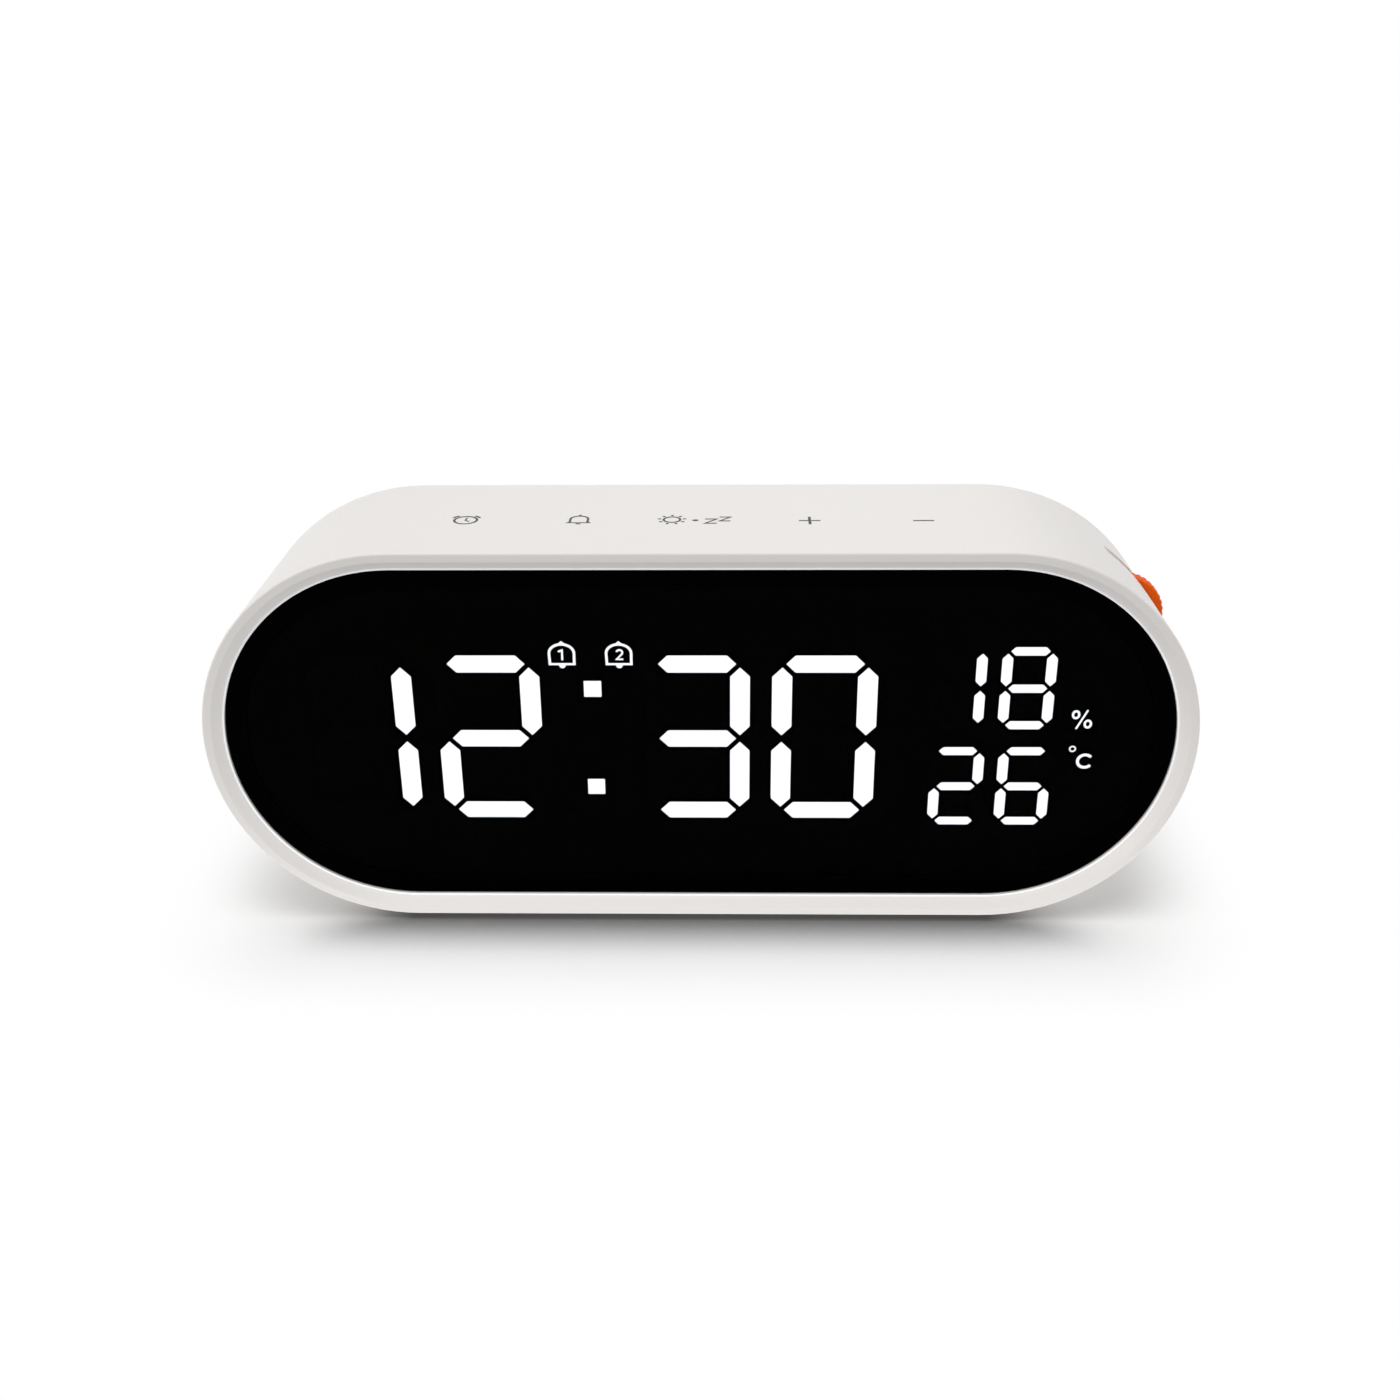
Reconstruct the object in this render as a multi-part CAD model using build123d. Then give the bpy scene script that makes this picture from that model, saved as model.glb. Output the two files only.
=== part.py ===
from build123d import *
import math
import os

# Digital alarm clock, in millimetres. X runs to the right as the display is read, Y to the back, Z up.
# The origin lies on the surface that the clock stands on, under the middle of the case.
# A depth is counted from the front rim towards the back, and a height from the middle of the case.

# Case
case_width = 180.0
case_height = 73.0
case_depth = 44.0
wall = 2.2
back_round = 6.0
front_round = 0.4
overrun = 1.0

# Front rim, lens and its ledge
rim_band = 1.6
rim_bevel = 1.65
rim_land = 0.35
bevel_angle = 45.0
lens_recess = 0.35
lens_thickness = 1.5
lens_gap = 0.1
lens_chamfer = 0.15
tape_thickness = 0.3
tape_margin = 0.25
ledge_width = 3.0
ledge_thickness = 2.0

# Display frame, its board and posts
frame_gap = 0.2
frame_side_gap = 0.3
frame_thickness = 7.5
board_thickness = 1.6
board_edge_gap = 0.8
display_post_radius = 2.2
post_bite = 0.2
display_post_angle = 50.0

# Lit segments: spans are between the middles of the strokes
digit_span = 15.4
digit_rise = 29.8
digit_upright = 3.65
digit_level = 3.4
digit_joint_gap = 0.65
small_span = 7.9
small_rise = 14.6
small_upright = 1.95
small_level = 1.68
small_joint_gap = 0.42
colon_side = 3.2
colon_rise = 20.0
bell_width = 5.6
bell_height = 5.8
unit_width = 5.4
unit_height = 5.6
segment_depth = 3.0
segment_fit = 0.05
led_length = 1.5
led_width = 0.8
led_height = 0.6
digit_middle_share = -0.0235
digit_place_shares = (-0.7374, -0.4582, -0.0012, 0.2755)
colon_place_share = -0.229
small_place_shares = ((0.5634, 0.7128), (0.5724, 0.7212))
small_row_shares = (0.3175, -0.355)
bell_place_shares = (-0.2927, -0.1696)
bell_row_share = 0.5415
unit_place_share = 0.838
unit_row_shares = (0.113, -0.152)
digit_values = ("one", "two", "three", "zero")
small_values = (("one", "eight"), ("two", "six"))
lit_strokes = {
    "zero": "abcdef", "one": "bc", "two": "abged", "three": "abgcd", "six": "afgecd", "eight": "abcdefg",
}
level_stroke_shares = {"a": (0, 1), "g": (0, 0), "d": (0, -1)}
upright_stroke_shares = {"b": (1, 0.5), "c": (1, -0.5), "e": (-1, -0.5), "f": (-1, 0.5)}

# Thumbwheel and its slot on the right end
wheel_diameter = 15.2
wheel_thickness = 3.0
wheel_proud = 1.75
wheel_angle = 33.4
wheel_offset = -0.1
wheel_edge_chamfer = 0.35
wheel_side_gap = 0.4
wheel_rim_gap = 0.5
ridge_count = 38
groove_radius = 0.5
groove_depth = 0.2
wheel_dish_radius = 4.6
wheel_dish_depth = 0.6
scoop_length = 25.5
scoop_wall = 1.2

# Rotary control behind the wheel
shaft_diameter = 3.0
shaft_fit = 0.05
shaft_end_gap = 0.3
hub_fit = 0.02
pad_lip = 1.0
dial_gap = 0.3
dial_body_outer = 2.4
dial_body_inner = 5.4
dial_body_width = 9.0
dial_body_height = 4.0
dial_board_inner = 6.0
dial_board_outer = 3.5
dial_board_length = 26.0
dial_board_edge_gap = 0.6
dial_post_radius = 2.4
dial_post_out = -1.9
dial_post_side = 10.0
rib_thickness = 1.6

# Small screws of the boards and the wheel
small_head_radius = 1.6
small_head_height = 1.1
small_shank_radius = 0.8
small_shank_length = 3.4
small_hole_gap = 0.2
screw_end_gap = 0.3
slot_width = 0.5
slot_depth = 0.5

# Touch keys under the top wall
key_pitch = 20.7
key_offset = -0.7
key_count = 5
key_depth = 18.0
pad_diameter = 9.0
pad_thickness = 2.0
pad_gap = 0.15
touch_board_margin = 10.0
touch_board_width = 10.0
touch_post_radius = 2.4

# Rear cover and the lip that carries it
cover_inset = 8.0
cover_gap = 0.15
cover_thickness = 2.2
cover_ledge_width = 2.5
cover_ledge_thickness = 2.0
boss_radius = 3.5
boss_height = 6.0
boss_inset = 12.5
boss_angle = 60.0
cover_head_radius = 2.6
cover_head_height = 1.3
cover_head_sink = 1.4
cover_shank_radius = 1.2
cover_shank_length = 6.0
cover_pilot_depth = 5.6
cover_hole_gap = 0.2

# Battery bay, cells and door
cell_diameter = 10.5
cell_length = 44.5
cell_count = 3
cell_spacing = 0.5
cell_clear = 0.3
nipple_diameter = 4.0
nipple_length = 0.8
contact_thickness = 0.5
contact_reach = 1.7
contact_height = 7.5
contact_bump_radius = 1.6
tub_wall = 1.6
tub_floor = 1.4
door_thickness = 2.0
door_gap = 0.3
door_ledge = 1.5
hinge_room = 2.4
hinge_depth = 1.6
hinge_sweep_gap = 0.4
pin_radius = 0.7
pin_fit = 0.05
pin_length = 1.6
pin_end_gap = 0.3
notch_radius = 5.0
notch_depth = 0.9

# Speaker behind the cover
speaker_radius = 14.0
speaker_gap = 2.0
collar_fit = 0.3
collar_wall = 1.6
collar_height = 4.0
gasket_thickness = 1.0
gasket_width = 2.8
flange_thickness = 1.0
basket_depth = 7.0
basket_radius = 9.0
basket_wall = 0.8
cone_rim_gap = 0.4
cone_thickness = 0.6
dome_radius = 5.0
dome_rise = 1.6
magnet_radius = 8.0
magnet_height = 5.0
terminal_length = 4.0
terminal_width = 5.0
terminal_height = 2.0
lead_width = 2.4
lead_thickness = 1.0
lead_gap = 0.5
lead_bend = 2.0
grille_slot_width = 1.6
grille_pitch = 3.2
grille_count = 7
grille_radius = 11.5

# Main board on the cover's standoffs
standoff_height = 7.8
standoff_radius = 2.4
standoff_inset = 3.4
main_board_gap = 3.0
main_board_width = 29.0
main_board_height = 31.0
main_board_drop = 4.0
chip_side = 10.0
chip_height = 1.4
driver_length = 7.5
driver_width = 4.0
capacitor_radius = 3.15
capacitor_height = 7.5
capacitor_chamfer = 0.4
connector_length = 4.0
connector_lip = 1.2
lead_connector_width = 5.0
ribbon_thickness = 0.3
ribbon_bend = 2.0
ribbon_reach = 6.5
ribbon_connector_height = 2.6
ribbon_connector_margin = 1.0
display_ribbon_width = 12.0
touch_ribbon_width = 6.0
sensor_side = 5.0
sensor_height = 2.5
sensor_port_radius = 0.9
sensor_port_depth = 0.6
vent_count = 4
vent_length = 9.0
vent_width = 1.2
vent_pitch = 2.6
chip_place_shares = (0.25, 0.12)
driver_place_shares = (0.16, -0.32)
capacitor_place_shares = ((-0.12, -0.345), (0.38, -0.16))
lead_connector_share = -0.20
display_ribbon_share = -0.02
touch_ribbon_share = -0.16
sensor_place_shares = (0.22, -0.16)
usb_place_shares = (0.05, 0.14)

# Power inlet
usb_width = 8.94
usb_height = 3.26
usb_wall = 0.3
usb_recess = 0.3
usb_cover_gap = 0.3
tongue_width = 6.7
tongue_height = 0.7
tongue_recess = 0.9
usb_base_height = 1.5

# Feet
foot_radius = 4.0
foot_proud = 1.0
foot_pocket = 0.6
foot_span = 84.0
foot_reach = 24.0
foot_chamfer = 0.3

# Places worked out from the sizes above
case_middle = foot_proud + case_height / 2
end_radius = case_height / 2
end_centre = case_width / 2 - end_radius
lens_inset = rim_band + rim_bevel + rim_land
lens_front = rim_bevel + lens_recess
lens_back = lens_front + lens_thickness
ledge_front = lens_back + tape_thickness
ledge_back = ledge_front + ledge_thickness
window_inset = lens_inset + ledge_width
frame_inset = window_inset + frame_side_gap
frame_front = lens_back + frame_gap
frame_back = frame_front + frame_thickness
frame_half_width = case_width / 2 - frame_inset
frame_half_height = case_height / 2 - frame_inset
display_board_back = frame_back + board_thickness
display_post_ring = end_radius - wall + post_bite - display_post_radius
wheel_front = case_depth / 2 + wheel_offset - wheel_thickness / 2
wheel_back = wheel_front + wheel_thickness
slot_front = wheel_front - wheel_side_gap
slot_back = wheel_back + wheel_side_gap
wheel_ring = end_radius + wheel_proud - wheel_diameter / 2
scoop_floor = math.sqrt(end_radius**2 - (scoop_length / 2) ** 2)
dial_body_front = slot_back + pad_lip + dial_gap
dial_board_front = dial_body_front + dial_body_height
cover_front = case_depth - cover_thickness
cavity_back = cover_front - cover_ledge_thickness
cell_pitch = cell_diameter + cell_spacing
contact_room = contact_thickness + contact_reach
bay_half_length = cell_length / 2 + contact_room
bay_half_height = cell_count * cell_pitch / 2
cell_axis = cover_front - cell_clear - cell_diameter / 2
bay_floor = cell_axis - cell_diameter / 2 - cell_clear
tub_front = bay_floor - tub_floor
door_opening_left = -bay_half_length - hinge_room
door_opening_right = bay_half_length + door_ledge
door_opening_half_height = bay_half_height + door_ledge
tub_left = door_opening_left - tub_wall
tub_right = door_opening_right + tub_wall
hinge_x = door_opening_left + door_gap + hinge_depth
collar_radius = speaker_radius + collar_fit
speaker_x = tub_left - speaker_gap - collar_radius - collar_wall
flange_back = cover_front - gasket_thickness
flange_front = flange_back - flange_thickness
basket_front = flange_front - basket_depth
main_board_back = cover_front - standoff_height
main_board_front = main_board_back - board_thickness
main_board_x = tub_right + main_board_gap + main_board_width / 2
lead_depth = tub_front - lead_gap - lead_thickness / 2
key_places = [key_offset + (key - (key_count - 1) / 2) * key_pitch for key in range(key_count)]
key_row_end = max(abs(place) for place in key_places) + pad_diameter / 2
past_flat = max(0, key_row_end - end_centre)
touch_top = math.sqrt((end_radius - wall) ** 2 - past_flat**2) - pad_gap
touch_board_top = touch_top - pad_thickness
touch_board_bottom = touch_board_top - board_thickness


# Shared helpers


def at_depth(depth):
    """Plane across the case at a depth: its own axes are the width and the height from the case's middle."""
    return Plane(origin=(0, depth - case_depth / 2, case_middle), x_dir=(1, 0, 0), z_dir=(0, -1, 0))


def slab(profile, front, back):
    """A profile drawn across the case, made solid between two depths."""
    return extrude(at_depth(front) * profile, amount=front - back)


def upright(profile, low, high):
    """A profile drawn in plan, as width and depth, made solid between two heights from the case's middle."""
    plan = Plane(origin=(0, -case_depth / 2, case_middle + low), x_dir=(1, 0, 0), z_dir=(0, 0, 1))
    return extrude(plan * profile, amount=high - low)


def stadium(inset):
    """The case's outline, a straight run with half-round ends, drawn in by an inset."""
    return SlotOverall(case_width - 2 * inset, case_height - 2 * inset)


def group(solids):
    """Separate solids kept together as one node."""
    return Compound(children=[solid for piece in solids for solid in piece.solids()])


def all_of(profiles):
    """Profiles joined into one sketch."""
    return Sketch() + list(profiles)


def dial_profile(profile):
    """Turns a profile about the right end's centre, so that its first axis points out through the wheel."""
    return Pos(end_centre, 0) * Rot(Z=wheel_angle) * profile


def corner_places(half_width, half_height):
    """The four corners of a rectangle about the middle."""
    return [(side * half_width, level * half_height) for side in (-1, 1) for level in (-1, 1)]


def small_screw(place, under_head, length=small_shank_length):
    """Small slotted pan-head screw along the depth, its head behind the surface that it clamps."""
    top = under_head + small_head_height
    head = slab(place * Circle(small_head_radius), under_head, top)
    slot = Rectangle(2 * small_head_radius + overrun, slot_width)
    head -= slab(place * slot, top - slot_depth, top + overrun)
    return head + slab(place * Circle(small_shank_radius), under_head - length, under_head)


# Housing


def outer_form():
    """The case as a full block with its rounded back edge and softened front edge."""
    block = slab(stadium(0), 0, case_depth)
    ends = block.faces().sort_by(Axis.Y)
    block = fillet(ends[-1].edges(), back_round)
    return fillet(block.faces().sort_by(Axis.Y)[0].edges(), front_round)


def front_mouth():
    """What is cut from the front: the bevel, the lens pocket and the window in the ledge."""
    rim = at_depth(0) * stadium(rim_band)
    bevel = extrude(rim, amount=-rim_bevel, taper=bevel_angle)
    pocket = slab(stadium(lens_inset), rim_bevel - overrun, ledge_front)
    window = slab(stadium(window_inset), ledge_front - overrun, ledge_back + overrun)
    return bevel + pocket + window


def display_post_places():
    """Middles of the posts for the display board, on the end arcs of the case."""
    angle = math.radians(display_post_angle)
    across = end_centre + display_post_ring * math.cos(angle)
    return corner_places(across, display_post_ring * math.sin(angle))


def dial_post(side):
    """Place of a post for the dial board, beside the wheel's axis."""
    return Pos(end_centre, 0) * Rot(Z=wheel_angle) * Pos(wheel_ring + dial_post_out, side * dial_post_side)


def dial_post_profile(side):
    """Section of a post for the dial board with the rib that ties it to the end wall."""
    rib = Rectangle(end_radius, rib_thickness, align=(Align.MIN, Align.CENTER))
    return dial_post(side) * (Circle(dial_post_radius) + rib)


def cover_boss_places():
    """Middles of the four screw bosses for the rear cover, on the end arcs of the case."""
    ring = end_radius - boss_inset
    angle = math.radians(boss_angle)
    return corner_places(end_centre + ring * math.cos(angle), ring * math.sin(angle))


def touch_post_places():
    """Middles of the posts that hold the touch board, between its outer keys."""
    outer_gap = (key_count - 2) / 2 * key_pitch
    return [(key_offset + side * outer_gap, key_depth) for side in (-1, 1)]


def housing_posts():
    """Posts and ribs inside the case, trimmed to stay within its wall."""
    posts = slab(all_of(Pos(*place) * Circle(display_post_radius) for place in display_post_places()),
                 ledge_front, frame_back)
    for side in (-1, 1):
        posts += slab(dial_post_profile(side), dial_body_front, dial_board_front)
    floor = Pos(scoop_floor - scoop_wall, 0)
    floor *= Rectangle(end_radius, scoop_length + 2 * scoop_wall, align=(Align.MIN, Align.CENTER))
    posts += slab(dial_profile(floor), slot_front - pad_lip, slot_back + pad_lip)
    posts += upright(all_of(Pos(*place) * Circle(touch_post_radius) for place in touch_post_places()),
                     touch_board_top, end_radius - wall / 2)
    return posts & slab(stadium(wall / 2), 0, case_depth)


def housing_holes():
    """Screw holes, the wheel's slot with its scoop, and the foot pockets."""
    pilots = all_of(Pos(*place) * Circle(small_shank_radius) for place in display_post_places())
    holes = slab(pilots, frame_back - small_shank_length, frame_back + overrun)
    for side in (-1, 1):
        pilot = dial_post(side) * Circle(small_shank_radius)
        holes += slab(pilot, dial_board_front - small_shank_length, dial_board_front + overrun)
    pilots = all_of(Pos(*place) * Circle(cover_shank_radius) for place in cover_boss_places())
    holes += slab(pilots, cover_front - cover_pilot_depth, cover_front + overrun)
    pilots = all_of(Pos(*place) * Circle(small_shank_radius) for place in touch_post_places())
    holes += upright(pilots, touch_board_top - overrun, touch_board_top + pad_thickness)
    scoop = Pos(scoop_floor, 0) * Rectangle(end_radius, scoop_length, align=(Align.MIN, Align.CENTER))
    holes += slab(dial_profile(scoop), slot_front, slot_back)
    wheel_room = Pos(wheel_ring, 0) * Circle(wheel_diameter / 2 + wheel_rim_gap)
    holes += slab(dial_profile(wheel_room), slot_front, slot_back)
    pockets = all_of(Pos(*place) * Circle(foot_radius) for place in foot_places())
    return holes + upright(pockets, -end_radius - overrun, -end_radius + foot_pocket)


def housing():
    """Moulded case: stadium tube with its bevelled rim, lens ledge, rear lip, posts and wheel slot."""
    outer = outer_form()
    shell = outer - slab(stadium(wall), ledge_back, cavity_back)
    shell -= front_mouth()
    shell -= slab(stadium(cover_inset), cover_front, case_depth + overrun)
    shell -= slab(stadium(cover_inset + cover_ledge_width), cavity_back - overrun, cover_front + overrun)
    bosses = all_of(Pos(*place) * Circle(boss_radius) for place in cover_boss_places())
    shell += slab(bosses, cover_front - boss_height, cover_front)
    return shell + housing_posts() - housing_holes()


# Feet


def foot_places():
    """Middles of the feet in plan, as width and depth."""
    corners = corner_places(foot_span / 2, foot_reach / 2)
    return [(across, case_depth / 2 + along) for across, along in corners]


def rubber_feet():
    """Four round feet set into pockets of the underside."""
    feet = []
    for place in foot_places():
        foot = upright(Pos(*place) * Circle(foot_radius), -end_radius - foot_proud, -end_radius + foot_pocket)
        feet.append(chamfer(foot.faces().sort_by(Axis.Z)[0].edges(), foot_chamfer))
    return group(feet)


# Lens and display


def front_lens():
    """Front panel with a fine chamfer round its face."""
    panel = slab(stadium(lens_inset + lens_gap), lens_front, lens_back)
    return chamfer(panel.faces().sort_by(Axis.Y)[0].edges(), lens_chamfer)


def lens_tape():
    """Foam tape ring between the panel and the ledge."""
    return slab(stadium(lens_inset + lens_gap + tape_margin) - stadium(window_inset), lens_back, ledge_front)


def stroke(length, width):
    """One pointed segment, lying level."""
    tip = length / 2
    half = width / 2
    flat = tip - half
    return Polygon((-tip, 0), (-flat, -half), (flat, -half), (tip, 0), (flat, half), (-flat, half))


def digit(middle, span, rise, upright_width, level_width, joint_gap):
    """Seven named strokes about a middle, with the place and turn of each."""
    level = stroke(span - 2 * joint_gap, level_width)
    tall = Rot(Z=90) * stroke(rise / 2 - 2 * joint_gap, upright_width)
    strokes = {}
    for name, (across, up) in level_stroke_shares.items():
        strokes[name] = Pos(middle[0] + across * span / 2, middle[1] + up * rise / 2) * level
    for name, (across, up) in upright_stroke_shares.items():
        strokes[name] = Pos(middle[0] + across * span / 2, middle[1] + up * rise / 2) * tall
    return strokes


def display_strokes():
    """Every segment of the eight digits, sorted into those that are lit at half past twelve and the rest."""
    lit, unlit = [], []
    jobs = []
    large = (digit_span, digit_rise, digit_upright, digit_level, digit_joint_gap)
    small = (small_span, small_rise, small_upright, small_level, small_joint_gap)
    for value, share in zip(digit_values, digit_place_shares):
        middle = (share * frame_half_width, digit_middle_share * frame_half_height)
        jobs.append((value, digit(middle, *large)))
    for values, shares, row in zip(small_values, small_place_shares, small_row_shares):
        for value, share in zip(values, shares):
            middle = (share * frame_half_width, row * frame_half_height)
            jobs.append((value, digit(middle, *small)))
    for value, strokes in jobs:
        for name, shape in strokes.items():
            (lit if name in lit_strokes[value] else unlit).append(shape)
    return lit, unlit


def colon_squares():
    """The two square dots between hours and minutes."""
    middle = digit_middle_share * frame_half_height
    across = colon_place_share * frame_half_width
    dot = Rectangle(colon_side, colon_side)
    return [Pos(across, middle + side * colon_rise / 2) * dot for side in (-1, 1)]


def bell_well():
    """Arched opening behind a bell sign."""
    arch = Circle(bell_width / 2) & Rectangle(bell_width, bell_width, align=(Align.CENTER, Align.MIN))
    skirt = Rectangle(bell_width, bell_height - bell_width / 2, align=(Align.CENTER, Align.MAX))
    return Pos(0, bell_height / 2 - bell_width / 2) * (arch + skirt)


def sign_wells():
    """Openings behind the two bells and the two unit signs."""
    row = bell_row_share * frame_half_height
    wells = [Pos(share * frame_half_width, row) * bell_well() for share in bell_place_shares]
    across = unit_place_share * frame_half_width
    for share in unit_row_shares:
        wells.append(Pos(across, share * frame_half_height) * Rectangle(unit_width, unit_height))
    return wells


def display_frame():
    """Black light frame that fills the window, with one well for each segment and sign."""
    frame = slab(stadium(frame_inset), frame_front, frame_back)
    lit, unlit = display_strokes()
    wells = all_of(lit + unlit + colon_squares() + sign_wells())
    return frame - slab(wells, frame_front - overrun, frame_back + overrun)


def diffusers(profiles):
    """Diffusing bars that fill the front of their wells."""
    back = frame_front + segment_depth
    return group(slab(offset(profile, -segment_fit), frame_front, back) for profile in profiles)


def lit_segments():
    """Bars of the lit strokes and the colon."""
    return diffusers(display_strokes()[0] + colon_squares())


def sign_windows():
    """Windows in front of the bells and the unit signs, printed dark round each sign."""
    return diffusers(sign_wells())


def unlit_segments():
    """Bars of the strokes that stay dark."""
    return diffusers(display_strokes()[1])


def display_leds():
    """One chip at the bottom of each well, on the display board."""
    lit, unlit = display_strokes()
    chip = Rectangle(led_length, led_width)
    chips = []
    for profile in lit + unlit + colon_squares() + sign_wells():
        size = profile.bounding_box().size
        turn = 90 if size.Y > size.X else 0
        middle = profile.bounding_box().center()
        chips.append(slab(Pos(middle.X, middle.Y) * Rot(Z=turn) * chip, frame_back - led_height, frame_back))
    return group(chips)


def display_board():
    """Board behind the light frame, screwed to the posts on the ledge."""
    hole = Circle(small_shank_radius + small_hole_gap)
    holes = all_of(Pos(*place) * hole for place in display_post_places())
    return slab(stadium(wall + board_edge_gap) - holes, frame_back, display_board_back)


def display_screws():
    """Four screws of the display board."""
    length = small_shank_length + board_thickness - screw_end_gap
    return group(small_screw(Pos(*place), display_board_back, length) for place in display_post_places())


# Thumbwheel and rotary control


def wheel_axis_cylinder(radius, front, back):
    """Round solid on the wheel's axis."""
    return slab(dial_profile(Pos(wheel_ring, 0) * Circle(radius)), front, back)


def thumbwheel():
    """Ridged disc with softened edges, a dished face and a bored hub."""
    disc = wheel_axis_cylinder(wheel_diameter / 2, wheel_front, wheel_back)
    disc = chamfer(disc.edges().filter_by(GeomType.CIRCLE), wheel_edge_chamfer)
    groove = Pos(wheel_diameter / 2 + groove_radius - groove_depth, 0) * Circle(groove_radius)
    grooves = all_of(Rot(Z=turn * 360 / ridge_count) * groove for turn in range(ridge_count))
    grooves = dial_profile(Pos(wheel_ring, 0) * grooves)
    disc -= slab(grooves, wheel_front - overrun, wheel_back + overrun)
    disc -= wheel_axis_cylinder(wheel_dish_radius, wheel_front - overrun, wheel_front + wheel_dish_depth)
    bore = shaft_diameter / 2 + hub_fit
    return disc - wheel_axis_cylinder(bore, wheel_front - overrun, wheel_back + overrun)


def dial_shaft():
    """Shaft of the rotary control, with a threaded end for the wheel's screw."""
    face = wheel_front + wheel_dish_depth
    shaft = wheel_axis_cylinder(shaft_diameter / 2, face, dial_board_front - shaft_end_gap)
    return shaft - wheel_axis_cylinder(small_shank_radius, face - overrun, face + small_shank_length)


def wheel_screw():
    """Screw that clamps the wheel on its shaft, its head in the wheel's dish."""
    face = wheel_front + wheel_dish_depth
    head = wheel_axis_cylinder(small_head_radius + hub_fit + small_hole_gap, face - small_head_height, face)
    slot = dial_profile(Pos(wheel_ring, 0) * Rectangle(shaft_diameter + small_head_radius, slot_width))
    head -= slab(slot, face - small_head_height - overrun, face - small_head_height + slot_depth)
    tip = face + small_shank_length - screw_end_gap
    return head + wheel_axis_cylinder(small_shank_radius - hub_fit, face, tip)


def dial_body():
    """Box body of the rotary control, bored for its shaft."""
    length = dial_body_inner + dial_body_outer
    middle = wheel_ring + (dial_body_outer - dial_body_inner) / 2
    profile = dial_profile(Pos(middle, 0) * Rectangle(length, dial_body_width))
    bore = shaft_diameter / 2 + shaft_fit
    body = slab(profile, dial_body_front, dial_board_front)
    return body - wheel_axis_cylinder(bore, dial_body_front - overrun, dial_board_front + overrun)


def dial_board():
    """Small board behind the rotary control, trimmed to the end wall."""
    width = dial_board_inner + dial_board_outer
    middle = wheel_ring + (dial_board_outer - dial_board_inner) / 2
    plate = dial_profile(Pos(middle, 0) * Rectangle(width, dial_board_length))
    plate &= stadium(wall + dial_board_edge_gap)
    for side in (-1, 1):
        plate -= dial_post(side) * Circle(small_shank_radius + small_hole_gap)
    return slab(plate, dial_board_front, dial_board_front + board_thickness)


def dial_screws():
    """Two screws of the dial board."""
    length = small_shank_length + board_thickness - screw_end_gap
    under_head = dial_board_front + board_thickness
    return group(small_screw(dial_post(side), under_head, length) for side in (-1, 1))


# Touch keys


def touch_board():
    """Strip board that hangs under the top wall."""
    length = (key_count - 1) * key_pitch + touch_board_margin
    strip = Pos(key_offset, key_depth) * Rectangle(length, touch_board_width)
    for place in touch_post_places():
        strip -= Pos(*place) * Circle(small_shank_radius + small_hole_gap)
    return upright(strip, touch_board_bottom, touch_board_top)


def touch_pads():
    """Sensing pads between the strip and the top wall, one under each printed key."""
    return group(upright(Pos(across, key_depth) * Circle(pad_diameter / 2), touch_board_top, touch_top)
                 for across in key_places)


def touch_screws():
    """Two screws that hold the strip from below."""
    screws = []
    for place in touch_post_places():
        head = upright(Pos(*place) * Circle(small_head_radius), touch_board_bottom - small_head_height,
                       touch_board_bottom)
        tip = touch_board_top + pad_thickness - screw_end_gap
        screws.append(head + upright(Pos(*place) * Circle(small_shank_radius), touch_board_bottom, tip))
    return group(screws)


def touch_ribbon_place():
    """Middle of the touch ribbon across the case."""
    return main_board_x + touch_ribbon_share * main_board_width


def touch_ribbon():
    """Flat cable from the strip down to the main board."""
    start = key_depth + connector_length / 2
    level = touch_board_bottom - ribbon_connector_height / 2
    drop = main_board_front - ribbon_connector_height / 2
    end = -main_board_drop + main_board_height / 2 - connector_length / 2
    path = FilletPolyline((start, level), (drop, level), (drop, end), radius=ribbon_bend)
    side = Plane(origin=(touch_ribbon_place() - touch_ribbon_width / 2, -case_depth / 2, case_middle),
                 x_dir=(0, 1, 0), z_dir=(1, 0, 0))
    return extrude(side * trace(path, ribbon_thickness), amount=touch_ribbon_width)


# Rear cover


def cover_plate():
    """Flat of the cover with its cut-outs for the door, screws, inlet, speaker and sensor."""
    plate = slab(stadium(cover_inset + cover_gap), cover_front, case_depth)
    for place in cover_boss_places():
        plate -= slab(Pos(*place) * Circle(cover_shank_radius + cover_hole_gap), cover_front - overrun,
                      case_depth + overrun)
        plate -= slab(Pos(*place) * Circle(cover_head_radius + cover_hole_gap), case_depth - cover_head_sink,
                      case_depth + overrun)
    inlet = SlotOverall(usb_width + 2 * usb_cover_gap, usb_height + 2 * usb_cover_gap)
    holes = all_of([Pos(*usb_place()) * inlet] + grille_slots() + vent_slots())
    return plate - slab(holes, cover_front - overrun, case_depth + overrun)


def grille_slots():
    """Level slots that fill a circle in front of the speaker."""
    slots = []
    for row in range(grille_count):
        level = (row - (grille_count - 1) / 2) * grille_pitch
        length = 2 * math.sqrt(grille_radius**2 - level**2)
        slots.append(Pos(speaker_x, level) * SlotOverall(length, grille_slot_width))
    return slots


def vent_slots():
    """Short level slots behind the climate sensor."""
    across, up = sensor_place()
    rows = [(row - (vent_count - 1) / 2) * vent_pitch for row in range(vent_count)]
    return [Pos(across, up + level) * SlotOverall(vent_length, vent_width) for level in rows]


def door_opening(front):
    """Block of the door's opening, from a depth out through the cover."""
    width = door_opening_right - door_opening_left
    place = Pos((door_opening_left + door_opening_right) / 2, 0)
    return slab(place * Rectangle(width, 2 * door_opening_half_height), front, case_depth + overrun)


def battery_tub():
    """Battery bay as a full block behind the cover."""
    width = tub_right - tub_left
    height = 2 * (door_opening_half_height + tub_wall)
    return slab(Pos((tub_left + tub_right) / 2, 0) * Rectangle(width, height), tub_front, cover_front)


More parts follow.
